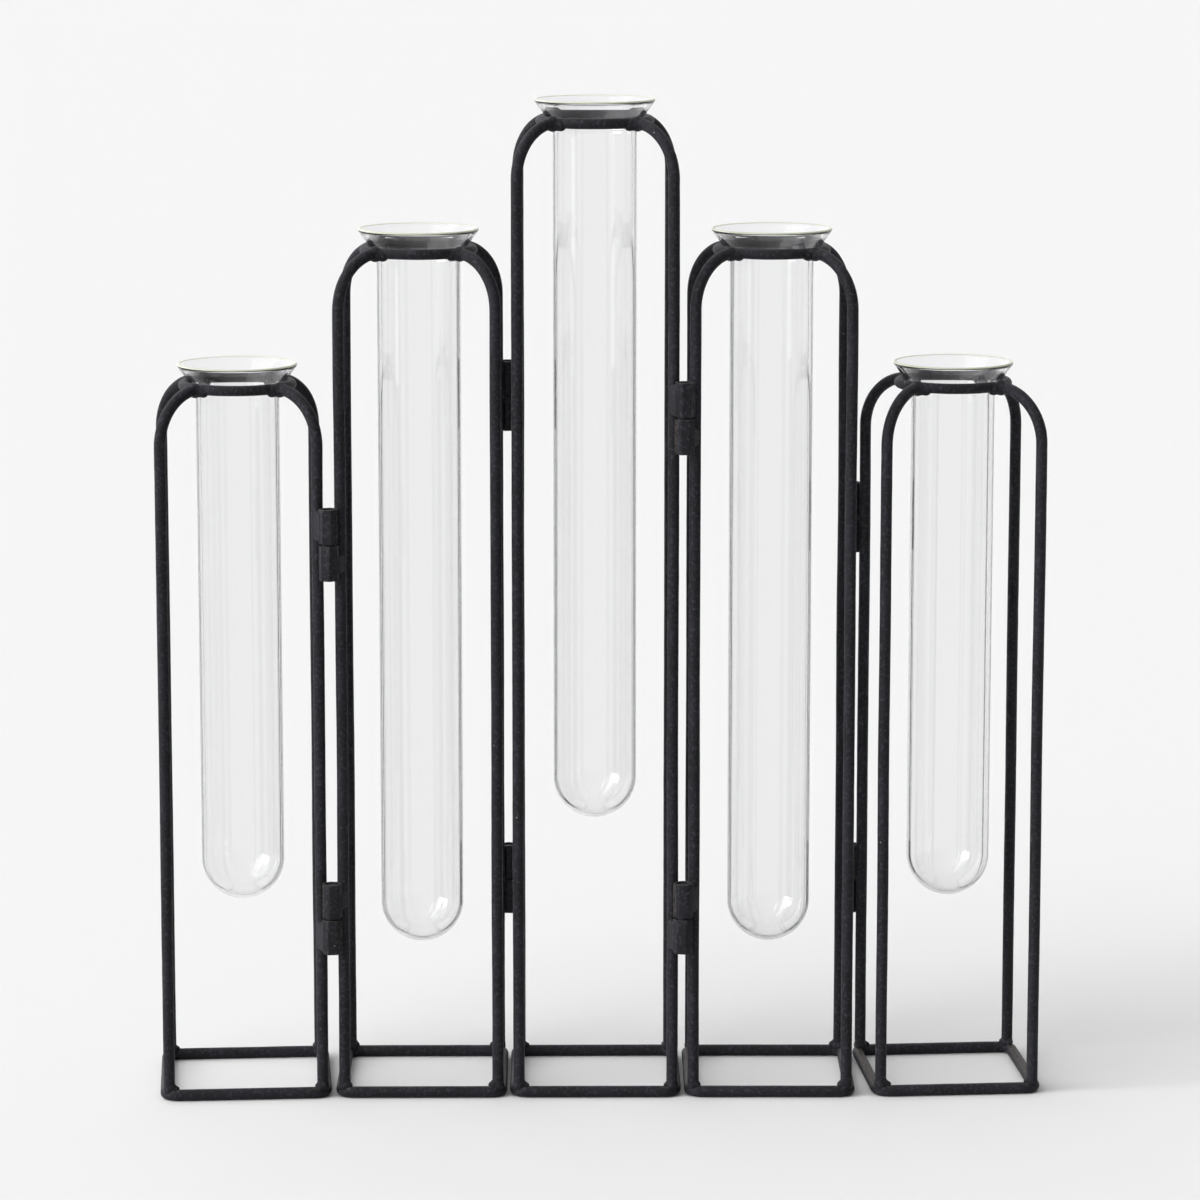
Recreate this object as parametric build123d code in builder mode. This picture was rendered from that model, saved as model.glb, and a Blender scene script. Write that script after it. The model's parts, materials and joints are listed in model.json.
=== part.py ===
from build123d import *
import os
from math import acos, cos, radians, sin, sqrt, tan

# Folding test tube vase: five wire cages of three heights, hinged into a row.
# Millimetres, +Z up, origin on the table under the middle of the row.
# Cages are numbered 1 to 5 from the left as seen from the front (-Y).

# Wire
wire_diameter = 3.5
ring_wire_diameter = 3.2

# Cage, square on plan
leg_spacing = 46.2  # between leg centres
base_bend_inside = 1.75  # inside radius of the base wire's corners
ring_play = 2.0  # between a tube and the inside of its ring
weld_land = 0.8  # a welded end stands this far off the centre line of the wire it meets
foot_weld_reach = 0.95  # weld around a leg's foot, beyond the wire
foot_weld_height = 3.2
ring_weld_reach = 0.55  # bead around a leg's end at the ring, beyond the wire

# Row at rest
base_gap = 0.8  # between the base frames of two cages that stand square to each other
cage_turns = (4.4, 0.5, 0.5, 0.0, 4.7)  # degrees about +Z
hinge_sides = (-1, 1, -1, 1)  # -1 for a hinge line on the front, 1 on the back

# Hinges
pin_diameter = 4.0
pin_clearance = 0.05
pin_recess = 0.6  # the pin ends this far below the top of the barrel
strap_thickness = 1.05
knuckle_height = 10.6
knuckle_gap = 0.4
seam_width = 0.5  # where the rolled strap's free edge meets its start
seam_turn = 155.0  # degrees from the leg to the seam, on the side away from the weld
leg_clearance = 0.3  # from a barrel to the legs beside it
knuckle_weld_dip = 0.3  # hollow of the weld below a line laid over the barrel and the leg
knuckle_weld_inset = 1.4  # the weld stops short of both ends of the knuckle
lower_hinge_height = 56.2  # middle of the hinge above the table
upper_hinge_drop_outer = 44.6  # middle of the hinge below the lower neighbour's ring, first and last gap
upper_hinge_drop_inner = 47.2  # second and third gap

# Glass tubes
tube_diameter = 25.0
tube_wall = 1.2
tube_length_short = 163.5
tube_length_long = 217.5
tube_lift_outer = 57.0  # bottom of the glass above the table, first and last cage
tube_lift_between = 43.2  # second and fourth cage
tube_lift_middle = 81.6
lip_overhang = 1.9  # lip's edge beyond the ring's centre line
lip_angle = 37.0  # degrees, flare from upright
lip_bend_radius = 9.0  # outside of the glass where the flare begins
lip_clearance = 0.3  # from the flare to the ring it hangs in

# Derived sizes
wire_radius = wire_diameter / 2
ring_wire_radius = ring_wire_diameter / 2
leg_reach = leg_spacing / 2
base_bend_radius = base_bend_inside + wire_radius
base_reach = leg_reach + base_bend_radius * (1 - sqrt(0.5))  # legs stand on the middle of the bends
leg_gap = base_gap + wire_diameter + 2 * (base_reach - leg_reach)
corner_radius = leg_reach * sqrt(2)
ring_radius = tube_diameter / 2 + ring_play + ring_wire_radius
leg_bend_radius = corner_radius - ring_radius - weld_land
bore_radius = pin_diameter / 2 + pin_clearance
barrel_radius = bore_radius + strap_thickness
leg_distance = barrel_radius + leg_clearance + wire_radius  # hinge axis to leg centre
hinge_x = (leg_spacing + leg_gap) / 2
hinge_y = leg_reach + sqrt(leg_distance**2 - (leg_gap / 2) ** 2)
hinge_drops = (upper_hinge_drop_outer, upper_hinge_drop_inner, upper_hinge_drop_inner, upper_hinge_drop_outer)

# Outer edge of a knuckle's weld on plan, from the hinge line with x towards the leg
weld_turn = acos((barrel_radius - wire_radius) / leg_distance)
weld_start = Vector(cos(weld_turn), sin(weld_turn)) * (barrel_radius - knuckle_weld_dip)
weld_end = Vector(cos(weld_turn), sin(weld_turn)) * (wire_radius - knuckle_weld_dip) + Vector(leg_distance, 0)


# Section of the lip, as drawn from the ring's centre
outer_radius = tube_diameter / 2
inner_radius = outer_radius - tube_wall
flare = radians(lip_angle)
seat = ring_wire_radius + lip_clearance
cap_x = ring_radius + lip_overhang - tube_wall / 2
lip_x = cap_x + tube_wall / 2 * cos(flare)
lip_y = seat * sin(flare) + (lip_x - ring_radius + seat * cos(flare)) / tan(flare)
cap_y = lip_y + tube_wall / 2 * sin(flare)
bend_x = outer_radius + lip_bend_radius * (1 - cos(flare))
bend_y = lip_y - (lip_x - bend_x) / tan(flare)
wall_top = bend_y - lip_bend_radius * sin(flare)
rim_rise = cap_y + tube_wall / 2

# Rings stand where the tubes' lips need them
tube_lengths = (tube_length_short, tube_length_long, tube_length_long, tube_length_long, tube_length_short)
tube_lifts = (tube_lift_outer, tube_lift_between, tube_lift_middle, tube_lift_between, tube_lift_outer)
ring_heights = [lift + length - rim_rise for lift, length in zip(tube_lifts, tube_lengths)]
corner_names = {"front_left": (-1, -1), "front_right": (1, -1), "back_left": (-1, 1), "back_right": (1, 1)}


def turned(x, y, angle):
    return Vector(x, y, 0).rotate(Axis.Z, angle)


def upright(origin, direction):
    """A plane that stands upright, with x along a level direction and y up."""
    return Plane(origin, x_dir=direction, z_dir=direction.rotate(Axis.Z, -90))


def lay_out():
    """Centres of the cages and places of the hinge lines, with the whole row's plan centred on the origin."""
    centres = [Vector(0, 0, 0)]
    hinges = []
    for gap, side in enumerate(hinge_sides):
        hinges.append(centres[gap] + turned(hinge_x, side * hinge_y, cage_turns[gap]))
        centres.append(hinges[gap] - turned(-hinge_x, side * hinge_y, cage_turns[gap + 1]))
    bend = base_reach - base_bend_radius
    outline = [(hinge, barrel_radius) for hinge in hinges]
    for centre, turn in zip(centres, cage_turns):
        for x, y in corner_names.values():
            outline.append((centre + turned(x * bend, y * bend, turn), base_bend_radius + wire_radius))
    low = Vector(min(p.X - r for p, r in outline), min(p.Y - r for p, r in outline))
    high = Vector(max(p.X + r for p, r in outline), max(p.Y + r for p, r in outline))
    middle = (low + high) / 2
    return [centre - middle for centre in centres], [hinge - middle for hinge in hinges]


def make_base(centre, turn):
    """A closed square of wire with bent corners, lying on the table."""
    floor = Plane(centre, x_dir=turned(1, 0, turn)).offset(wire_radius)
    with BuildPart() as base:
        with BuildLine(floor) as path:
            corners = [(x * base_reach, y * base_reach) for x, y in ((-1, -1), (1, -1), (1, 1), (-1, 1))]
            FilletPolyline(*corners, radius=base_bend_radius, close=True)
        with BuildSketch(Plane(path.line @ 0, z_dir=path.line % 0)):
            Circle(wire_radius)
        sweep(path=path.line)
    return base.part


def make_ring(centre, height):
    """A closed circle of wire that carries a tube by its lip."""
    with BuildPart(Plane(centre).offset(height)) as ring:
        Torus(ring_radius, ring_wire_radius)
    return ring.part


def make_leg(centre, direction, height, base, ring):
    """An upright wire on a corner of the base, bent over to butt against the ring, with its weld beads."""
    section = upright(centre, direction)
    foot = wire_radius + weld_land
    with BuildPart() as leg:
        with BuildLine(section) as path:
            stem = Line((corner_radius, foot), (corner_radius, height - leg_bend_radius))
            JernArc(stem @ 1, (0, 1), leg_bend_radius, 90)
        with BuildSketch(Plane(path.line @ 0, z_dir=path.line % 0)):
            Circle(wire_radius)
        sweep(path=path.line)
        with Locations(centre + direction * corner_radius + Vector(0, 0, foot)):
            Cone(
                wire_radius + foot_weld_reach,
                wire_radius,
                foot_weld_height,
                align=(Align.CENTER, Align.CENTER, Align.MIN),
            )
        bead = centre + direction * (ring_radius + ring_wire_radius) + Vector(0, 0, height)
        with Locations(Plane(bead, z_dir=direction)):
            Sphere(wire_radius + ring_weld_reach)
        add(base, mode=Mode.SUBTRACT)
        add(ring, mode=Mode.SUBTRACT)
    return leg.part


def make_tube(centre, height, length):
    """A round-bottomed glass tube whose flared lip hangs in the ring."""
    bottom = rim_rise - length
    section = upright(centre + Vector(0, 0, height), Vector(1, 0, 0))
    with BuildPart() as tube:
        with BuildSketch(section):
            with BuildLine():
                outer_end = CenterArc((0, bottom + outer_radius), outer_radius, -90, 90)
                outer_wall = Line(outer_end @ 1, (outer_radius, wall_top))
                outer_bend = JernArc(outer_wall @ 1, (0, 1), lip_bend_radius, -lip_angle)
                outer_flare = Line(outer_bend @ 1, (lip_x, lip_y))
                inner_lip = (lip_x - tube_wall * cos(flare), lip_y + tube_wall * sin(flare))
                cap_top = (cap_x + tube_wall / 2 * sin(flare), cap_y + tube_wall / 2 * cos(flare))
                ThreePointArc(outer_flare @ 1, cap_top, inner_lip)
                inner_end = CenterArc((0, bottom + outer_radius), inner_radius, -90, 90)
                inner_wall = Line(inner_end @ 1, (inner_radius, wall_top))
                inner_bend = JernArc(inner_wall @ 1, (0, 1), lip_bend_radius + tube_wall, -lip_angle)
                Line(inner_bend @ 1, inner_lip)
                Line(outer_end @ 0, inner_end @ 0)
            make_face()
        revolve(axis=Axis(centre, (0, 0, 1)))
    return tube.part


def make_knuckle(hinge, height, bore, toward_leg, outside, leg):
    """A strap rolled into a barrel, with its seam open and its weld filled in to the leg that carries it."""
    direction = toward_leg.normalized()
    floor = Plane(hinge + Vector(0, 0, height), x_dir=direction)
    seam = Plane(floor.origin, x_dir=direction.rotate(Axis.Z, -outside * seam_turn))
    with BuildPart() as knuckle:
        with BuildSketch(floor):
            Circle(barrel_radius)
        extrude(amount=knuckle_height)
        with BuildSketch(floor.offset(knuckle_weld_inset)):
            with BuildLine():
                edge = [(point.X, outside * point.Y) for point in (weld_start, weld_end)]
                Polyline((0, 0), *edge, (leg_distance, 0), close=True)
            make_face()
        extrude(amount=knuckle_height - 2 * knuckle_weld_inset)
        with BuildSketch(floor):
            Circle(bore)
        extrude(amount=knuckle_height, mode=Mode.SUBTRACT)
        with BuildSketch(seam):
            Rectangle(2 * barrel_radius, seam_width, align=(Align.MIN, Align.CENTER))
        extrude(amount=knuckle_height, mode=Mode.SUBTRACT)
        add(leg, mode=Mode.SUBTRACT)
    return knuckle.part


def make_pin(hinge, height):
    """A pin held fast by the lower knuckle, on which the upper one turns."""
    with BuildPart(Plane(hinge).offset(height)) as pin:
        Cylinder(
            pin_diameter / 2,
            2 * knuckle_height + knuckle_gap - pin_recess,
            align=(Align.CENTER, Align.CENTER, Align.MIN),
        )
    return pin.part


def save(part, name):
    part.label = name
    export_step(part, f"parts/{name}.step")


os.makedirs("parts", exist_ok=True)
centres, hinges = lay_out()
legs = []

# Cages and their tubes
for number, (centre, turn, height) in enumerate(zip(centres, cage_turns, ring_heights), start=1):
    base = make_base(centre, turn)
    ring = make_ring(centre, height)
    save(base, f"base_{number}")
    save(ring, f"ring_{number}")
    cage_legs = {}
    for name, (x, y) in corner_names.items():
        cage_legs[name] = make_leg(centre, turned(x, y, turn).normalized(), height, base, ring)
        save(cage_legs[name], f"leg_{name}_{number}")
    legs.append(cage_legs)
    save(make_tube(centre, height, tube_lengths[number - 1]), f"tube_{number}")

# Two hinges in each gap. One has the left cage's knuckle on top and the other the right cage's,
# so that neither cage lifts off its neighbour.
for gap, (hinge, side) in enumerate(zip(hinges, hinge_sides)):
    face = "front" if side < 0 else "back"
    upper_height = min(ring_heights[gap], ring_heights[gap + 1]) - hinge_drops[gap]
    for level, middle in (("upper", upper_height), ("lower", lower_hinge_height)):
        bottom = middle - knuckle_height - knuckle_gap / 2
        left_on_top = (level == "upper") == (side < 0)
        name = f"hinge_{gap + 1}_{gap + 2}_{level}"
        for cage, left in ((gap, True), (gap + 1, False)):
            leg = legs[cage][f"{face}_{'right' if left else 'left'}"]
            foot = centres[cage] + turned((1 if left else -1) * leg_reach, side * leg_reach, cage_turns[cage])
            on_top = left == left_on_top
            height = bottom + knuckle_height + knuckle_gap if on_top else bottom
            bore = bore_radius if on_top else pin_diameter / 2
            outside = -side if left else side
            knuckle = make_knuckle(hinge, height, bore, foot - hinge, outside, leg)
            save(knuckle, f"{name}_knuckle_{cage + 1}")
        save(make_pin(hinge, bottom), f"{name}_pin")

for gap, hinge in enumerate(hinges, start=1):
    print(f"hinge line {gap} to {gap + 1}: x {hinge.X:.4f}, y {hinge.Y:.4f}")
for number, centre in enumerate(centres, start=1):
    print(f"cage {number}: x {centre.X:.4f}, y {centre.Y:.4f}")
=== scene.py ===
import bmesh
import bpy
import json
import math
from mathutils import Matrix, Vector, noise


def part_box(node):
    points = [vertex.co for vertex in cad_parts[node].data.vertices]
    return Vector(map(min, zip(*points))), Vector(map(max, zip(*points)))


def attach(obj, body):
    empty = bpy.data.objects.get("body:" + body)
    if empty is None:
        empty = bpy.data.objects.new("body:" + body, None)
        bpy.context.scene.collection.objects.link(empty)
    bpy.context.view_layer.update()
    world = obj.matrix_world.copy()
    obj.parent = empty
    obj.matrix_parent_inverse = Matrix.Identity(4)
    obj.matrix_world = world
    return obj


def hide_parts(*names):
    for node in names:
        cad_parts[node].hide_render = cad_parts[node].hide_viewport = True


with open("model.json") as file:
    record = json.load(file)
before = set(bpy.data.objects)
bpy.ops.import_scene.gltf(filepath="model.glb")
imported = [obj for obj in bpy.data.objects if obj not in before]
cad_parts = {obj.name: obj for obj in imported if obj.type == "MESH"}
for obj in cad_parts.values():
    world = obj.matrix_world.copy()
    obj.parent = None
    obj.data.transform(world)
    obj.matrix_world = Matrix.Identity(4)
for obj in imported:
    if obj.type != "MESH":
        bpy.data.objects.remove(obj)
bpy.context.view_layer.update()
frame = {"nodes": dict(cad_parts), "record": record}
print("frame loaded with", len(frame["nodes"]), "nodes")

mm = 0.001  # sizes below are in millimetres, Blender works in metres
up = Vector((0, 0, 1))

# Folding test tube vase: five black wire cages hinged into a row, a glass tube hanging in each.

cage = {
    "turns": (4.4, 0.5, 0.5, 0.0, 4.7),  # degrees, as the row stands
    "legSpacing": 46.2,
    "bendInside": 1.75,  # inside radius of the base corners
    "weldLand": 0.8,  # leg ends stop this far off the middle of the wire they meet
}
corners = {"front_left": (-1, -1), "front_right": (1, -1), "back_left": (-1, 1), "back_right": (1, 1)}


def turned(x, y, degrees):
    return Matrix.Rotation(math.radians(degrees), 3, "Z") @ Vector((x, y, 0))


def readCage(number):
    # places come from the CAD ring and base, so every piece sits on the frame
    ringLow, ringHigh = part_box(f"ring_{number}")
    baseLow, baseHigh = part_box(f"base_{number}")
    turn = cage["turns"][number - 1]
    wireRadius = (baseHigh.z - baseLow.z) / 2
    ringWire = (ringHigh.z - ringLow.z) / 2
    bend = cage["bendInside"] * mm + wireRadius
    spread = abs(math.cos(math.radians(turn))) + abs(math.sin(math.radians(turn)))
    half = (baseHigh.x - baseLow.x) / 2
    centre = (ringLow + ringHigh) / 2
    return {
        "number": number,
        "body": f"cage_{number}",
        "turn": turn,
        "centre": Vector((centre.x, centre.y, 0)),
        "ringHeight": centre.z,
        "ringRadius": (ringHigh.x - ringLow.x) / 2 - ringWire,
        "ringWire": ringWire,
        "wire": wireRadius,
        "bend": bend,
        "baseReach": bend + (half - bend - wireRadius) / spread,
        "legReach": cage["legSpacing"] * mm / 2,
    }


cages = [readCage(number) for number in range(1, 6)]


def legFoot(c, corner):
    x, y = corners[corner]
    return c["centre"] + turned(x * c["legReach"], y * c["legReach"], c["turn"])


# Materials


def toLinear(hexColour):
    channels = [int(hexColour[i : i + 2], 16) / 255 for i in (1, 3, 5)]
    return [v / 12.92 if v <= 0.04045 else ((v + 0.055) / 1.055) ** 2.4 for v in channels] + [1.0]


def perMetre(sizeMm):
    return 1 / (sizeMm * mm)


def addNode(tree, kind, settings=None, links=None):
    node = tree.nodes.new(kind)
    for key, value in (settings or {}).items():
        if isinstance(key, int) or key in node.inputs:
            node.inputs[key].default_value = value
        else:
            setattr(node, key, value)
    for socket, source in (links or {}).items():
        tree.links.new(source, node.inputs[socket])
    return node


def newMaterial(name):
    material = bpy.data.materials.new(name)
    material.use_nodes = True
    tree = material.node_tree
    return material, tree, tree.nodes["Principled BSDF"]


powderCoat = {
    "dark": "#1b1b1e",
    "light": "#25252a",
    "grainGlint": "#3f3f47",  # painted highlight on the tips of the grain, where the coat would catch light
    "wearAndSheen": "#575049",  # grey-brown where the coat has rubbed thin, also a painted sheen on the tops of the base bars and knuckle rims
    "speck": "#8b8b8a",
    "toneSize": 14.0,  # mm, broad change of tone
    "toneDetail": 3.0,
    "toneRange": (0.35, 0.65),  # of the tone noise, from dark to light
    "grainSize": 1.0,  # mm; the real grit is about 0.2 mm, drawn coarser so that it shows
    "grainDetail": 4.0,
    "tipRange": (0.5, 0.72),  # of the grain, from black to the palest painted highlight
    "tipShare": 0.75,
    "wearAndSheenRange": (0.24, 0.66),  # of the wear-and-sheen weight times grain, from whole coat to full grey-brown
    "speckSpacing": 3.4,  # mm between places where a dust speck can sit
    "speckRadius": 0.06,  # share of the spacing
    "speckShare": 0.12,  # of those places
    "roughness": (0.46, 0.64),
    "roughRange": (0.3, 0.7),  # of the grain, from smooth to rough
    "specular": 0.18,  # a dull polyester, a third as bright as a gloss paint
    "bumpDepth": 0.2,  # mm
    "bumpStrength": 0.85,
}


def makePowderCoat():
    # polyester powder coat baked on steel: matt black, finely pebbled, greyer on rubbed edges; the grain
    # tips carry a painted highlight, and the grey-brown also paints a sheen on the tops of the base bars
    # and the top rims of the knuckles
    s = powderCoat
    material, tree, shader = newMaterial("powderCoatedSteel")
    place = addNode(tree, "ShaderNodeTexCoord").outputs["Object"]
    tone = addNode(
        tree,
        "ShaderNodeTexNoise",
        {"Scale": perMetre(s["toneSize"]), "Detail": s["toneDetail"]},
        {"Vector": place},
    )
    grain = addNode(
        tree,
        "ShaderNodeTexNoise",
        {"Scale": perMetre(s["grainSize"]), "Detail": s["grainDetail"]},
        {"Vector": place},
    )
    cells = addNode(tree, "ShaderNodeTexVoronoi", {"Scale": perMetre(s["speckSpacing"])}, {"Vector": place})
    wearAndSheen = addNode(tree, "ShaderNodeAttribute", {"attribute_name": "wearAndSheen"}).outputs["Fac"]

    black = addNode(tree, "ShaderNodeValToRGB", links={"Fac": tone.outputs["Fac"]})
    for stop, position, colour in zip(black.color_ramp.elements, s["toneRange"], (s["dark"], s["light"])):
        stop.position = position
        stop.color = toLinear(colour)

    # painted highlight: the highest points of the grain are mixed towards a paler grey
    tips = addNode(
        tree,
        "ShaderNodeMapRange",
        {"From Min": s["tipRange"][0], "From Max": s["tipRange"][1], "To Max": s["tipShare"]},
        {"Value": grain.outputs["Fac"]},
    )
    glintedGrain = addNode(
        tree,
        "ShaderNodeMix",
        {"data_type": "RGBA", 7: toLinear(s["grainGlint"])},
        {0: tips.outputs[0], 6: black.outputs["Color"]},
    )

    # grey-brown patches follow the wear weights, which also hold a painted sheen on the tops of the base
    # bars, broken up by the grain
    broken = addNode(tree, "ShaderNodeMath", {"operation": "MULTIPLY"}, {0: wearAndSheen, 1: grain.outputs["Fac"]})
    whole, fullyTinted = s["wearAndSheenRange"]
    wearAndSheenShare = addNode(
        tree,
        "ShaderNodeMapRange",
        {"From Min": whole, "From Max": fullyTinted, "interpolation_type": "SMOOTHSTEP"},
        {"Value": broken.outputs[0]},
    )
    wornAndSheened = addNode(
        tree,
        "ShaderNodeMix",
        {"data_type": "RGBA", 7: toLinear(s["wearAndSheen"])},
        {0: wearAndSheenShare.outputs[0], 6: glintedGrain.outputs[2]},
    )

    # a few dust specks: the middle of some cells only
    middle = addNode(
        tree,
        "ShaderNodeMath",
        {"operation": "LESS_THAN", 1: s["speckRadius"]},
        {0: cells.outputs["Distance"]},
    )
    some = addNode(tree, "ShaderNodeSeparateColor", links={"Color": cells.outputs["Color"]})
    chosen = addNode(
        tree,
        "ShaderNodeMath",
        {"operation": "LESS_THAN", 1: s["speckShare"]},
        {0: some.outputs["Red"]},
    )
    speck = addNode(
        tree,
        "ShaderNodeMath",
        {"operation": "MULTIPLY"},
        {0: middle.outputs[0], 1: chosen.outputs[0]},
    )
    dusted = addNode(
        tree,
        "ShaderNodeMix",
        {"data_type": "RGBA", 7: toLinear(s["speck"])},
        {0: speck.outputs[0], 6: wornAndSheened.outputs[2]},
    )
    tree.links.new(dusted.outputs[2], shader.inputs["Base Color"])

    smoothGrain, roughGrain = s["roughRange"]
    least, most = s["roughness"]
    rough = addNode(
        tree,
        "ShaderNodeMapRange",
        {"From Min": smoothGrain, "From Max": roughGrain, "To Min": least, "To Max": most},
        {"Value": grain.outputs["Fac"]},
    )
    tree.links.new(rough.outputs[0], shader.inputs["Roughness"])
    bump = addNode(
        tree,
        "ShaderNodeBump",
        {"Strength": s["bumpStrength"], "Distance": s["bumpDepth"] * mm},
        {"Height": grain.outputs["Fac"]},
    )
    tree.links.new(bump.outputs["Normal"], shader.inputs["Normal"])
    shader.inputs["Specular IOR Level"].default_value = s["specular"]
    return material


glassTint = {
    "clear": "#ffffff",
    "ior": 1.474,
    "absorb": "#9b9ca3",
    "density": 55.0,  # per metre, greys the edges where the wall is seen end on
}


def makeGlass():
    # drawn borosilicate tubing: clear, perfectly smooth, faintly grey through its edges
    s = glassTint
    material, tree, shader = newMaterial("borosilicateGlass")
    shader.inputs["Base Color"].default_value = toLinear(s["clear"])
    shader.inputs["Roughness"].default_value = 0.0
    shader.inputs["Transmission Weight"].default_value = 1.0
    shader.inputs["IOR"].default_value = s["ior"]
    grey = addNode(
        tree,
        "ShaderNodeVolumeAbsorption",
        {"Color": toLinear(s["absorb"]), "Density": s["density"]},
    )
    tree.links.new(grey.outputs[0], tree.nodes["Material Output"].inputs["Volume"])
    return material


# painted rim glow for the glass edges
rimGlowPaint = {
    "pale": "#eaf0c8",
    "green": "#d3dca6",
    "patchSize": 7.0,  # mm, slow change of tint around the rim
    "patchDetail": 2.0,
    "scatter": (1.0, 1.0, 0.8),  # mm that light travels inside
    "roughness": 0.22,
}


def makeRimGlow():
    # painted rim glow: light led up the wall leaves the real edge, so this pale, cloudy, yellow-green
    # translucent skin paints that glow
    s = rimGlowPaint
    material, tree, shader = newMaterial("paintedRimGlow")
    place = addNode(tree, "ShaderNodeTexCoord").outputs["Object"]
    patches = addNode(
        tree,
        "ShaderNodeTexNoise",
        {"Scale": perMetre(s["patchSize"]), "Detail": s["patchDetail"]},
        {"Vector": place},
    )
    tint = addNode(
        tree,
        "ShaderNodeMix",
        {"data_type": "RGBA", 6: toLinear(s["pale"]), 7: toLinear(s["green"])},
        {0: patches.outputs["Fac"]},
    )
    tree.links.new(tint.outputs[2], shader.inputs["Base Color"])
    shader.inputs["Roughness"].default_value = s["roughness"]
    shader.inputs["Subsurface Weight"].default_value = 1.0
    shader.inputs["Subsurface Radius"].default_value = s["scatter"]
    shader.inputs["Subsurface Scale"].default_value = mm
    return material


coat = makePowderCoat()
glass = makeGlass()
rimGlowMaterial = makeRimGlow()
print("materials ready:", coat.name, glass.name, rimGlowMaterial.name)


# Mesh helpers


def newPiece(name, verts, faces, material, body, weights=None):
    mesh = bpy.data.meshes.new(name)
    mesh.from_pydata([tuple(v) for v in verts], [], faces)
    mesh.validate()
    mesh.shade_smooth()
    for label, values in (weights or {}).items():
        layer = mesh.attributes.new(label, "FLOAT", "POINT")
        layer.data.foreach_set("value", values)
    mesh.materials.append(material)
    piece = bpy.data.objects.new(name, mesh)
    bpy.context.scene.collection.objects.link(piece)
    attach(piece, body)
    return piece


def sweep(points, side, radius, sides, closed=False):
    # round wire along a flat path; side is the direction square to the path's plane
    verts, faces = [], []
    count = len(points)
    for i, point in enumerate(points):
        before = points[(i - 1) % count] if closed or i else point
        after = points[(i + 1) % count] if closed or i < count - 1 else point
        along = (after - before).normalized()
        across = along.cross(side).normalized()
        for k in range(sides):
            angle = 2 * math.pi * k / sides
            normal = across * math.cos(angle) + side * math.sin(angle)
            verts.append(point + normal * radius(point, normal))
    for i in range(count if closed else count - 1):
        j = (i + 1) % count
        for k in range(sides):
            m = (k + 1) % sides
            faces.append((i * sides + k, j * sides + k, j * sides + m, i * sides + m))
    if not closed:
        faces.append(tuple(range(sides)))
        faces.append(tuple(range((count - 1) * sides, count * sides))[::-1])
    return verts, faces


def lumps(point, size, seed):
    # smooth noise with lumps of a size in mm; each seed looks at another place in it
    return noise.noise(point * perMetre(size) + Vector((seed, seed * 1.7, -seed)))


def melted(blobs, voxel, rounds):
    # weld metal: balls run together into one skin
    ball = bmesh.new()
    for place, radius in blobs:
        bmesh.ops.create_icosphere(ball, subdivisions=2, radius=radius, matrix=Matrix.Translation(place))
    mesh = bpy.data.meshes.new("meltedBalls")
    ball.to_mesh(mesh)
    ball.free()
    holder = bpy.data.objects.new("meltedBalls", mesh)
    bpy.context.scene.collection.objects.link(holder)
    remesh = holder.modifiers.new("run together", "REMESH")
    remesh.mode = "VOXEL"
    remesh.voxel_size = voxel
    smooth = holder.modifiers.new("soften", "SMOOTH")
    smooth.iterations = rounds
    bpy.context.view_layer.update()
    solid = bpy.data.meshes.new_from_object(holder.evaluated_get(bpy.context.evaluated_depsgraph_get()))
    verts = [v.co.copy() for v in solid.vertices]
    faces = [tuple(p.vertices) for p in solid.polygons]
    bpy.data.objects.remove(holder)
    return verts, faces


# Wire cages

wireFinish = {
    "sides": 24,
    "step": 2.4,  # mm between sections on straight wire
    "legBendSteps": 18,
    "baseBendSteps": 8,
    "ringSteps": 84,
    "lumpSize": 6.0,  # mm, uneven coat along the wire
    "lumpDepth": 0.035,  # mm
    "wander": 0.16,  # mm, hand-bent wire is never quite straight
    "wanderSize": 55.0,  # mm
    "steadyEnds": 0.12,  # share of a leg, at each end, in which the wander dies out
    "sideBarSheen": 0.9,  # painted sheen on the tops of the base's side bars
    # painted sheen on the tops of the front and back bars, fainter
    "frontBarSheen": 0.35,
    "seedSteps": {"base": 3.1, "ring": 5.3, "cage": 13.7, "leg": 2.9},  # so that no two pieces are alike
}


def arcPoints(centre, start, end, radius, first, last, steps):
    # quarter bend in the plane of two directions
    points = []
    for i in range(steps + 1):
        angle = first + (last - first) * i / steps
        points.append(centre + start * (radius * math.cos(angle)) + end * (radius * math.sin(angle)))
    return points


def straight(a, b, step):
    count = max(2, round((b - a).length / step))
    return [a.lerp(b, i / count) for i in range(count + 1)]


def coatedRadius(wire, seed):
    depth = wireFinish["lumpDepth"] * mm

    def radius(point, normal):
        return wire - depth + depth * lumps(point + normal * wire, wireFinish["lumpSize"], seed)

    return radius


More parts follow.
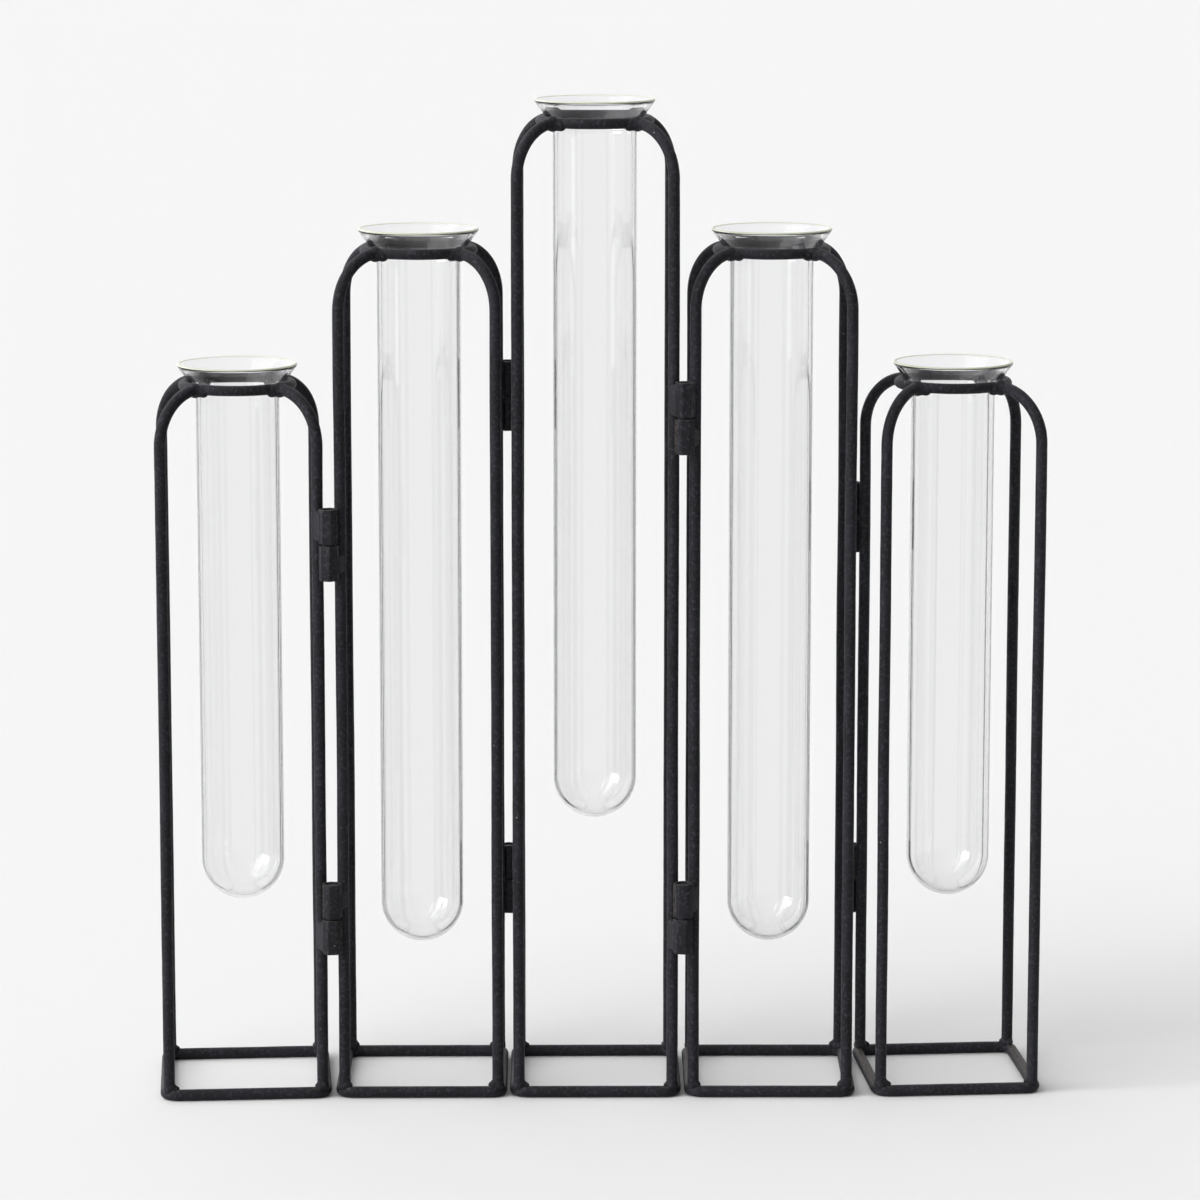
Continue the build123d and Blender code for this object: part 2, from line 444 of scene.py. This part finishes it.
def makeBase(c):
    s = wireFinish
    inner = c["baseReach"] - c["bend"]
    along, across = turned(1, 0, c["turn"]), turned(0, 1, c["turn"])
    floor = c["centre"] + up * c["wire"]
    points = []
    for quarter, (x, y) in enumerate(((1, 1), (-1, 1), (-1, -1), (1, -1))):
        middle = floor + along * (x * inner) + across * (y * inner)
        first = quarter * math.pi / 2
        last = first + math.pi / 2
        bendPoints = arcPoints(middle, along, across, c["bend"], first, last, s["baseBendSteps"])
        if points:
            points += straight(points[-1], bendPoints[0], s["step"] * mm)[1:-1]
        points += bendPoints
    points += straight(points[-1], points[0], s["step"] * mm)[1:-1]
    radius = coatedRadius(c["wire"], c["number"] * s["seedSteps"]["base"])
    verts, faces = sweep(points, up, radius, s["sides"], closed=True)
    # painted sheen: the grey-brown weight grows towards the top of the wire, most on the side bars, where a
    # grazing reflection would lighten the coat
    wearAndSheen = []
    for v in verts:
        local = v - floor
        onSide = abs(local.dot(along)) > inner
        height = local.z / c["wire"]
        wearAndSheen.append(max(0.0, height) * (s["sideBarSheen"] if onSide else s["frontBarSheen"]))
    piece = newPiece(f"baseFrame_{c['number']}", verts, faces, coat, c["body"], {"wearAndSheen": wearAndSheen})
    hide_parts(f"base_{c['number']}")


def makeRing(c):
    s = wireFinish
    points = []
    for i in range(s["ringSteps"]):
        angle = 2 * math.pi * i / s["ringSteps"]
        offset = Vector((math.cos(angle), math.sin(angle), 0)) * c["ringRadius"]
        points.append(c["centre"] + up * c["ringHeight"] + offset)
    radius = coatedRadius(c["ringWire"], c["number"] * s["seedSteps"]["ring"])
    verts, faces = sweep(points, up, radius, s["sides"], closed=True)
    piece = newPiece(f"ringWire_{c['number']}", verts, faces, coat, c["body"])
    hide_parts(f"ring_{c['number']}")


def legPath(c, corner):
    # upright wire, then a quarter bend in towards the ring
    foot = legFoot(c, corner)
    outward = (foot - c["centre"]).normalized()
    reach = (foot - c["centre"]).length
    bend = reach - c["ringRadius"] - cage["weldLand"] * mm
    low = foot + up * (c["wire"] + cage["weldLand"] * mm)
    high = foot + up * (c["ringHeight"] - bend)
    curve = arcPoints(high - outward * bend, outward, up, bend, 0, math.pi / 2, wireFinish["legBendSteps"])
    return straight(low, high, wireFinish["step"] * mm)[:-1] + curve, outward


def makeLeg(c, corner, seed):
    s = wireFinish
    points, outward = legPath(c, corner)
    side = outward.cross(up)
    fade = s["steadyEnds"] * (points[-1] - points[0]).length
    bent = []
    for p in points:
        # the wander dies out at both welded ends
        ends = min(1.0, (p - points[0]).length / fade, (p - points[-1]).length / fade)
        drift = s["wander"] * mm * ends
        sideways = drift * lumps(p, s["wanderSize"], seed)
        inAndOut = drift * lumps(p, s["wanderSize"], seed + 9)  # another part of the noise
        bent.append(p + side * sideways + outward * inAndOut)
    verts, faces = sweep(bent, side, coatedRadius(c["wire"], seed), s["sides"])
    piece = newPiece(f"legWire_{corner}_{c['number']}", verts, faces, coat, c["body"])
    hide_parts(f"leg_{corner}_{c['number']}")


def drawn(least, most, seed):
    # a steady draw between two sizes for one seed
    return least + (most - least) * (0.5 + 0.5 * math.sin(seed * 12.9898))


footWeld = {  # lengths in mm
    "voxel": 0.3,
    "rounds": 9,  # of smoothing
    "core": 2.05,
    "coreLift": 0.1,
    "vary": 0.1,  # share by which a bead's size changes
    "varySize": 20.0,
    "collar": 7,  # balls up the leg's foot
    "collarStep": 0.7,
    "collarTaper": 0.02,
    "fillet": (0.8, 1.3),  # least and most
    "reach": (1.3, 2.3),  # along a bar, least and most
    "towardsBar": 0.6,  # share of the way from the leg's line to the bar's
    "toeLift": 0.2,
    "backLift": 1.1,  # halfway from the toe to the leg
}
ringWeld = {  # lengths in mm
    "voxel": 0.3,
    "rounds": 9,
    "core": 2.4,
    "coreDrop": 0.2,
    "vary": 0.12,
    "varySize": 15.0,
    "neck": 5,  # balls out along the end of the leg
    "neckStep": 0.8,
    "neckDrop": 0.02,  # times the square of a ball's number, as the leg bends down
    "neckTaper": 0.03,
    "toe": 1.95,
    "toeInset": 0.75,  # share of the ring wire's radius
    "reach": 2.1,  # around the ring
    "sag": 0.5,
}


def makeFootWelds(c):
    s = footWeld
    blobs = []
    along, across = turned(1, 0, c["turn"]), turned(0, 1, c["turn"])
    top = 2 * c["wire"]
    for corner, (x, y) in corners.items():
        foot = legFoot(c, corner)
        seed = c["number"] * 7 + x * 2 + y  # another one for each corner
        vary = 1 + s["vary"] * lumps(foot, s["varySize"], seed)
        blobs.append((foot + up * (top + s["coreLift"] * mm), s["core"] * mm * vary))
        # the leg's foot and both bars run into the bead
        for i in range(s["collar"]):
            place = foot + up * (top + i * s["collarStep"] * mm)
            blobs.append((place, c["wire"] - s["collarTaper"] * mm * i))
        for bar, square, sign, shift in ((along, across * y, -x, 0), (across, along * x, -y, 40)):
            out = square * (c["baseReach"] - c["legReach"]) * s["towardsBar"]
            reach = drawn(*s["reach"], seed + shift) * sign * mm
            fillet = drawn(*s["fillet"], seed + shift + 20) * mm
            blobs.append((foot + out + bar * reach + up * (top + s["toeLift"] * mm), fillet))
            blobs.append((foot + out + bar * (reach * 0.5) + up * (top + s["backLift"] * mm), fillet))
    verts, faces = melted(blobs, s["voxel"] * mm, s["rounds"])
    newPiece(f"footWelds_{c['number']}", verts, faces, coat, c["body"])


def makeRingWelds(c):
    s = ringWeld
    blobs = []
    for corner, (x, y) in corners.items():
        outward = (legFoot(c, corner) - c["centre"]).normalized()
        around = up.cross(outward)
        joint = c["centre"] + up * c["ringHeight"] + outward * (c["ringRadius"] + c["ringWire"])
        seed = c["number"] * 11 + x * 3 + y
        vary = 1 + s["vary"] * lumps(joint, s["varySize"], seed)
        blobs.append((joint - up * (s["coreDrop"] * mm), s["core"] * mm * vary))
        for i in range(s["neck"]):
            place = joint + outward * (i * s["neckStep"] * mm) - up * (s["neckDrop"] * i * i * mm)
            blobs.append((place, c["wire"] - s["neckTaper"] * mm * i))
        # a toe to either side, in over the ring
        inner = joint - outward * (c["ringWire"] * s["toeInset"])
        for sign in (-1, 1):
            toe = inner + around * (sign * s["reach"] * mm) - up * (s["sag"] * mm)
            blobs.append((toe, s["toe"] * mm * vary))
    verts, faces = melted(blobs, s["voxel"] * mm, s["rounds"])
    newPiece(f"ringWelds_{c['number']}", verts, faces, coat, c["body"])


seedSteps = wireFinish["seedSteps"]
for c in cages:
    makeBase(c)
    makeRing(c)
    for index, corner in enumerate(corners):
        makeLeg(c, corner, c["number"] * seedSteps["cage"] + index * seedSteps["leg"])
    makeFootWelds(c)
    makeRingWelds(c)
print("wire cages done")


# Hinges

hinge = {
    "sides": (-1, 1, -1, 1),  # front or back, gap by gap
    "barrel": 3.1,  # mm, outside radius
    "bore": 2.05,  # mm, inside radius
    "edge": 0.2,  # mm, rounded edges of the rolled strap
    "edgeStep": 0.3,  # share of the edge at which its rounding has a level
    "levels": (0.35, 0.65),  # shares of the height that have one too
    "trim": 0.12,  # mm off both ends, so that the slit between two knuckles shows dark
    "seam": 0.5,  # mm
    "seamTurn": 155.0,  # degrees from the weld to the seam, on the side away from the leg
    "segments": 84,
    "uneven": 0.05,  # mm
    "unevenSize": 4.0,  # mm
    "unevenShift": 0.6,  # keeps the lumps inside the barrel
    "facets": 7,  # flats left by rolling the strap in steps
    "facetDepth": (0.18, 0.34),  # mm, least and most
    "topWearAndGlint": 1.0,
    "seamWear": 0.85,
    "otherWear": 0.3,
    "seamWearTurn": 0.22,  # radians to either side of the seam
}
knuckleWeld = {
    "ball": 1.15,  # mm, size of one drop
    "vary": 0.1,  # share by which it changes
    "varySize": 1.8,  # mm
    "dip": 0.04,  # mm, hollow below a line laid over the barrel and the leg
    "step": 0.8,  # mm
    # from an end of the knuckle, least and most, by the leg's side of its cage
    "inset": {"right": (0.9, 1.6), "left": (1.6, 3.6)},
    "shares": (0.1, 0.28, 0.46, 0.64, 0.82, 1.0),  # drops from the barrel to the leg
    "voxel": 0.25,
    "rounds": 4,
}


def strapSection(inset, seamHalf):
    # closed outline of the rolled strap, from the seam round and back, as (angle, radius)
    outer, inner = (hinge["barrel"] - inset) * mm, (hinge["bore"] + inset) * mm
    count = hinge["segments"]
    first, last = seamHalf, 2 * math.pi - seamHalf
    sweepAngles = [first + (last - first) * i / count for i in range(count + 1)]
    return [(a, outer) for a in sweepAngles] + [(a, inner) for a in reversed(sweepAngles)]


def flatDip(angle, seed):
    # depth of the flats below the round barrel
    across = (angle * hinge["facets"] / (2 * math.pi) + seed) % 1.0
    return drawn(*hinge["facetDepth"], seed) * (1 - (2 * across - 1) ** 2)


def makeKnuckle(node, c, axisPlace, legPlace, hand, outside):
    s = hinge
    low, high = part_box(node)
    low.z += s["trim"] * mm
    high.z -= s["trim"] * mm
    edge = s["edge"]
    shoulder = edge * s["edgeStep"]
    height = high.z - low.z
    toLeg = (legPlace - axisPlace).normalized()
    seamDirection = Matrix.Rotation(math.radians(-outside * s["seamTurn"]), 3, "Z") @ toLeg
    start = math.atan2(seamDirection.y, seamDirection.x)
    seamHalf = s["seam"] / 2 / s["barrel"]
    levels = [(low.z, edge), (low.z + shoulder * mm, shoulder), (low.z + edge * mm, 0.0)]
    levels += [(low.z + height * share, 0.0) for share in s["levels"]]
    levels += [(high.z - edge * mm, 0.0), (high.z - shoulder * mm, shoulder), (high.z, edge)]
    seed = low.z * 300 + axisPlace.x * 50  # from its place, so that no two are alike
    verts, wearAndSheen, faces = [], [], []
    for z, inset in levels:
        section = strapSection(inset, seamHalf + inset / s["barrel"])
        for a, r in section:
            x, y = math.cos(start + a), math.sin(start + a)
            place = Vector((axisPlace.x + r * x, axisPlace.y + r * y, z))
            onOutside = r > (s["barrel"] + s["bore"]) / 2 * mm
            dent = 0.0
            if onOutside:
                lump = lumps(place, s["unevenSize"], seed) - s["unevenShift"]
                dent = s["uneven"] * lump - flatDip(a, seed)
            verts.append(place + Vector((x, y, 0)) * (dent * mm))
            wearAndSheenShare = s["otherWear"]
            # wear and painted highlight: only the top rounded rim of a knuckle turns paler, as if lit from
            # above; the lower rims stay dark at the slit
            if inset > 0 and z > (low.z + high.z) / 2:
                wearAndSheenShare = s["topWearAndGlint"]
            elif inset == 0 and min(a, 2 * math.pi - a) < s["seamWearTurn"]:
                wearAndSheenShare = s["seamWear"]
            wearAndSheen.append(wearAndSheenShare if onOutside else 0.0)
    size = 2 * (s["segments"] + 1)  # points in one section
    for level in range(len(levels) - 1):
        here, above = level * size, (level + 1) * size
        for k in range(size):
            m = (k + 1) % size
            faces.append((here + k, here + m, above + m, above + k))
    half = size // 2
    for k in range(half - 1):
        bottom = (k, size - 1 - k, size - 2 - k, k + 1)
        faces.append(bottom)
        top = [(len(levels) - 1) * size + i for i in bottom]
        faces.append(tuple(reversed(top)))
    name = "strapKnuckle_" + node.removeprefix("hinge_")
    piece = newPiece(name, verts, faces, coat, c["body"], {"wearAndSheen": wearAndSheen})
    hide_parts(node)
    makeKnuckleWeld(node, c, axisPlace, legPlace, hand, outside)


def makeKnuckleWeld(node, c, axisPlace, legPlace, hand, outside):
    # a run of drops that fills the hollow between the barrel and its leg, on the outer side
    s = knuckleWeld
    low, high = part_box(node)
    toLeg = legPlace - axisPlace
    gap = toLeg.length
    barrel = hinge["barrel"] * mm
    lean = math.acos((barrel - c["wire"]) / gap)
    outward = Matrix.Rotation(outside * lean, 3, "Z") @ toLeg.normalized()
    seed = low.z * 410 + axisPlace.x * 70
    blobs = []
    z = low.z + drawn(*s["inset"][hand], seed) * mm
    while z < high.z - drawn(*s["inset"][hand], seed + 1) * mm:
        for share in s["shares"]:
            middle = Vector((axisPlace.x, axisPlace.y, z)) + toLeg * share
            ball = s["ball"] * mm * (1 + s["vary"] * lumps(middle, s["varySize"], seed))
            reach = barrel + (c["wire"] - barrel) * share - s["dip"] * mm
            blobs.append((middle + outward * (reach - ball), ball))
        z += s["step"] * mm
    verts, faces = melted(blobs, s["voxel"] * mm, s["rounds"])
    name = "knuckleWeld_" + node.removeprefix("hinge_")
    newPiece(name, verts, faces, coat, c["body"])


def lathe(profile, place, segments):
    # (radius, height) points turned about an upright line; ends on the axis close by themselves
    verts, faces, rings = [], [], []
    for r, z in profile:
        if r < 1e-7:
            rings.append([len(verts)])
            verts.append(place + up * z)
            continue
        ring = []
        for k in range(segments):
            angle = 2 * math.pi * k / segments
            ring.append(len(verts))
            verts.append(place + Vector((r * math.cos(angle), r * math.sin(angle), z)))
        rings.append(ring)
    for a, b in zip(rings, rings[1:]):
        for k in range(segments):
            m = (k + 1) % segments
            if len(a) == 1:
                faces.append((a[0], b[m], b[k]))
            elif len(b) == 1:
                faces.append((a[k], a[m], b[0]))
            else:
                faces.append((a[k], a[m], b[m], b[k]))
    return verts, faces


pin = {
    "chamfer": 0.35,  # mm
    "shoulder": (0.4, 0.35),  # shares of the chamfer, in and down, that round its top
    "segments": 40,
    "wearAndSheen": 0.2,
}


def makePin(node, body, axisPlace):
    s = pin
    low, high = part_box(node)
    radius = (high.x - low.x) / 2
    chamfer = s["chamfer"] * mm
    inward, down = [chamfer * share for share in s["shoulder"]]
    profile = [(0, low.z), (radius - chamfer, low.z), (radius, low.z + chamfer), (radius, high.z - chamfer)]
    profile += [(radius - inward, high.z - down), (radius - chamfer, high.z), (0, high.z)]
    verts, faces = lathe(profile, axisPlace, s["segments"])
    name = "hingePin_" + node.removeprefix("hinge_").removesuffix("_pin")
    wearAndSheen = [s["wearAndSheen"]] * len(verts)
    piece = newPiece(name, verts, faces, coat, body, {"wearAndSheen": wearAndSheen})
    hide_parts(node)


nodeBody = {node: body for body, nodes in frame["record"]["behaviour"]["bodies"].items() for node in nodes}
for gap, side in enumerate(hinge["sides"]):
    face = "front" if side < 0 else "back"
    for level in ("upper", "lower"):
        name = f"hinge_{gap + 1}_{gap + 2}_{level}"
        pinLow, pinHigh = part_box(f"{name}_pin")
        axisPlace = Vector(((pinLow.x + pinHigh.x) / 2, (pinLow.y + pinHigh.y) / 2, 0))
        for c, hand, outside in ((cages[gap], "right", -side), (cages[gap + 1], "left", side)):
            node = f"{name}_knuckle_{c['number']}"
            makeKnuckle(node, c, axisPlace, legFoot(c, f"{face}_{hand}"), hand, outside)
        makePin(f"{name}_pin", nodeBody[f"{name}_pin"], axisPlace)
print("hinges done")


# Glass tubes

tube = {
    "wall": 1.2,  # mm
    "diameter": 25.0,  # mm
    "lipAngle": 37.0,  # degrees, flare from upright
    "bendRadius": 9.0,  # mm, outside of the glass where the flare begins
    "lipOverhang": 1.9,  # mm beyond the ring's centre line
    "glowSkin": 0.06,  # mm, skin of painted rim glow around the end of the clear wall
    "glowTurns": (15.0, 125.0),  # degrees around the end of the wall, from level
    "segments": 144,
    "endSteps": 28,  # sections of the outline, from the round end up
    "wallSteps": 24,
    "bendSteps": 10,
    "coneSteps": 8,
    "lipSteps": 12,
    "glowSteps": 18,
}


def tubeProfile(c, bottom, top):
    # outside up to the lip, over its rounded edge, and down the inside
    s = tube
    wall, outer = s["wall"] * mm, s["diameter"] * mm / 2
    flare = math.radians(s["lipAngle"])
    capX = c["ringRadius"] + s["lipOverhang"] * mm - wall / 2
    capZ = top - wall / 2
    capRadius = wall / 2 - s["glowSkin"] * mm
    bend = s["bendRadius"] * mm
    out = Vector((math.cos(flare), -math.sin(flare)))  # square to the flare, away from the axis
    lip = Vector((capX, capZ)) + out * (wall / 2)
    bendX = outer + bend * (1 - math.cos(flare))
    bendZ = lip.y - (lip.x - bendX) / math.tan(flare)
    wallTop = bendZ - bend * math.sin(flare)
    ballZ = bottom + outer

    def roundEnd(radius):
        angles = [math.pi / 2 * i / s["endSteps"] for i in range(s["endSteps"] + 1)]
        return [(radius * math.sin(a), ballZ - radius * math.cos(a)) for a in angles]

    def straightWall(radius):
        steps = s["wallSteps"]
        return [(radius, ballZ + (wallTop - ballZ) * i / steps) for i in range(1, steps)]

    def flareBend(x, radius):
        angles = [flare * i / s["bendSteps"] for i in range(s["bendSteps"] + 1)]
        return [(x + radius * (1 - math.cos(a)), wallTop + radius * math.sin(a)) for a in angles]

    def coneTo(start, end):
        # points along the straight flare, from its bend to the lip
        steps = s["coneSteps"]
        out, rise = end[0] - start[0], end[1] - start[1]
        return [(start[0] + out * i / steps, start[1] + rise * i / steps) for i in range(1, steps)]

    def lipArc(radius, angles):
        return [(capX + radius * math.cos(a), capZ + radius * math.sin(a)) for a in angles]

    cap = lipArc(capRadius, [-flare + math.pi * i / s["lipSteps"] for i in range(s["lipSteps"] + 1)])
    outside = roundEnd(outer) + straightWall(outer) + flareBend(outer, bend)
    outside += coneTo(outside[-1], cap[0])
    bore = outer - wall
    inside = roundEnd(bore) + straightWall(bore) + flareBend(bore, bend + wall)
    inside += coneTo(inside[-1], cap[-1])
    # the painted glow skin wraps the edge and reaches a little into the clear wall
    first, last = [math.radians(turn) for turn in s["glowTurns"]]
    turns = [first + (last - first) * i / s["glowSteps"] for i in range(s["glowSteps"] + 1)]
    glowShell = lipArc(wall / 2, turns) + lipArc(capRadius - s["glowSkin"] * mm, turns[::-1])
    return outside + cap + inside[::-1], glowShell + glowShell[:1]


for c in cages:
    node = f"tube_{c['number']}"
    low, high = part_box(node)
    profile, glowShell = tubeProfile(c, low.z, high.z)
    verts, faces = lathe(profile, c["centre"], tube["segments"])
    piece = newPiece(f"glassTube_{c['number']}", verts, faces, glass, node)
    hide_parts(node)
    # painted rim glow: a thin pale shell over each tube's rim
    verts, faces = lathe(glowShell, c["centre"], tube["segments"])
    newPiece(f"paintedRimGlowShell_{c['number']}", verts, faces, rimGlowMaterial, node)
print("glass tubes done")


# Studio: pale floor, soft light, camera

studio = {
    "floorSize": 80.0,  # metres
    "floorColour": "#f3f3f3",
    "floorRoughness": 0.9,
    "floorSpecular": 0.1,
    "bounceColour": "#8c8c8c",  # what the floor gives back as light, so that the wire keeps its dark side
    "window": (-1.05, 0.36, 0.24),  # the sky is brighter on this side and darker on the other
    "skyRange": (-0.9, 1.1),  # from the far side to the window
    "skyStrength": (0.056, 1.176),  # on the far side and at the window
    "seenColour": "#f3f3f3",
    "seenRange": (-0.9, 0.9),
    "seenStrength": (0.4, 1.6),
    "suns": (
        {"name": "keySun", "from": (-1.0, -0.5, 0.75), "strength": 1.5, "angle": 60.0},
        {"name": "lowSun", "from": (-1.45, -0.5, 0.22), "strength": 2.3, "angle": 30.0},
    ),
    "softbox": {"place": (-1.3, -0.75, 0.55), "size": (0.4, 1.1), "power": 2.0},
    "aim": (0.0, 0.0, 0.16),
}


def anySeen(tree):
    # 1 for what the camera sees straight, in gloss or through glass
    path = addNode(tree, "ShaderNodeLightPath")
    seen = addNode(
        tree,
        "ShaderNodeMath",
        {"operation": "MAXIMUM"},
        {0: path.outputs["Is Camera Ray"], 1: path.outputs["Is Glossy Ray"]},
    )
    return addNode(
        tree,
        "ShaderNodeMath",
        {"operation": "MAXIMUM"},
        {0: seen.outputs[0], 1: path.outputs["Is Transmission Ray"]},
    ).outputs[0]


def makeFloor():
    material, tree, shader = newMaterial("paperSweep")  # matt seamless paper
    seen = anySeen(tree)
    colour = addNode(
        tree,
        "ShaderNodeMix",
        {"data_type": "RGBA", 6: toLinear(studio["bounceColour"]), 7: toLinear(studio["floorColour"])},
        {0: seen},
    )
    tree.links.new(colour.outputs[2], shader.inputs["Base Color"])
    shader.inputs["Roughness"].default_value = studio["floorRoughness"]
    shader.inputs["Specular IOR Level"].default_value = studio["floorSpecular"]
    half = studio["floorSize"] / 2
    mesh = bpy.data.meshes.new("floor")
    outline = [(-half, -half, 0), (half, -half, 0), (half, half, 0), (-half, half, 0)]
    mesh.from_pydata(outline, [], [(0, 1, 2, 3)])
    mesh.materials.append(material)
    floor = bpy.data.objects.new("floor", mesh)
    bpy.context.scene.collection.objects.link(floor)


def makeWorld():
    world = bpy.data.worlds.new("studio")
    bpy.context.scene.world = world
    world.use_nodes = True
    tree = world.node_tree
    tree.nodes.clear()
    seen = anySeen(tree)
    # a window side, so that the wire is lighter on the left
    direction = addNode(tree, "ShaderNodeTexCoord").outputs["Generated"]
    window = addNode(
        tree,
        "ShaderNodeVectorMath",
        {"operation": "DOT_PRODUCT", 1: studio["window"]},
        {0: direction},
    ).outputs["Value"]
    far, near = studio["skyRange"]
    least, most = studio["skyStrength"]
    lightSide = addNode(
        tree,
        "ShaderNodeMapRange",
        {"From Min": far, "From Max": near, "To Min": least, "To Max": most},
        {"Value": window},
    )
    far, near = studio["seenRange"]
    least, most = studio["seenStrength"]
    paleSide = addNode(
        tree,
        "ShaderNodeMapRange",
        {"From Min": far, "From Max": near, "To Min": least, "To Max": most},
        {"Value": window},
    )
    light = addNode(
        tree,
        "ShaderNodeBackground",
        {"Color": (1, 1, 1, 1)},
        {"Strength": lightSide.outputs[0]},
    )
    pale = addNode(
        tree,
        "ShaderNodeBackground",
        {"Color": toLinear(studio["seenColour"])},
        {"Strength": paleSide.outputs[0]},
    )
    mixed = addNode(
        tree,
        "ShaderNodeMixShader",
        links={0: seen, 1: light.outputs[0], 2: pale.outputs[0]},
    )
    addNode(tree, "ShaderNodeOutputWorld", links={"Surface": mixed.outputs[0]})


def aimed(obj, place, target):
    obj.location = place
    obj.rotation_euler = (Vector(target) - Vector(place)).to_track_quat("-Z", "Y").to_euler()
    bpy.context.scene.collection.objects.link(obj)


def makeLights():
    for s in studio["suns"]:
        light = bpy.data.lights.new(s["name"], "SUN")
        light.energy = s["strength"]
        light.angle = math.radians(s["angle"])
        sun = bpy.data.objects.new(s["name"], light)
        sun.visible_glossy = False
        aimed(sun, s["from"], (0, 0, 0))
    # a box that is only mirrored, so that it leaves no edge on the floor
    s = studio["softbox"]
    light = bpy.data.lights.new("leftSoftbox", "AREA")
    light.shape = "RECTANGLE"
    light.size, light.size_y = s["size"]
    light.energy = s["power"]
    box = bpy.data.objects.new("leftSoftbox", light)
    box.visible_camera = False
    box.visible_diffuse = False
    aimed(box, s["place"], studio["aim"])


view = {
    "place": (1.2, -1443.9, 393.2),  # mm
    "pitch": 9.63,  # degrees below level
    "lens": 145.6,  # mm
    "sensor": 36.0,  # mm
    "clip": (0.05, 200.0),  # metres
}


def makeCamera():
    data = bpy.data.cameras.new("camera")
    data.lens = view["lens"]
    data.sensor_width = view["sensor"]
    data.clip_start, data.clip_end = view["clip"]
    camera = bpy.data.objects.new("camera", data)
    camera.location = Vector(view["place"]) * mm
    camera.rotation_euler = (math.radians(90 - view["pitch"]), 0, 0)
    bpy.context.scene.collection.objects.link(camera)
    bpy.context.scene.camera = camera


makeFloor()
makeWorld()
makeLights()
makeCamera()
bpy.context.scene.view_settings.view_transform = "Standard"
print("studio ready")
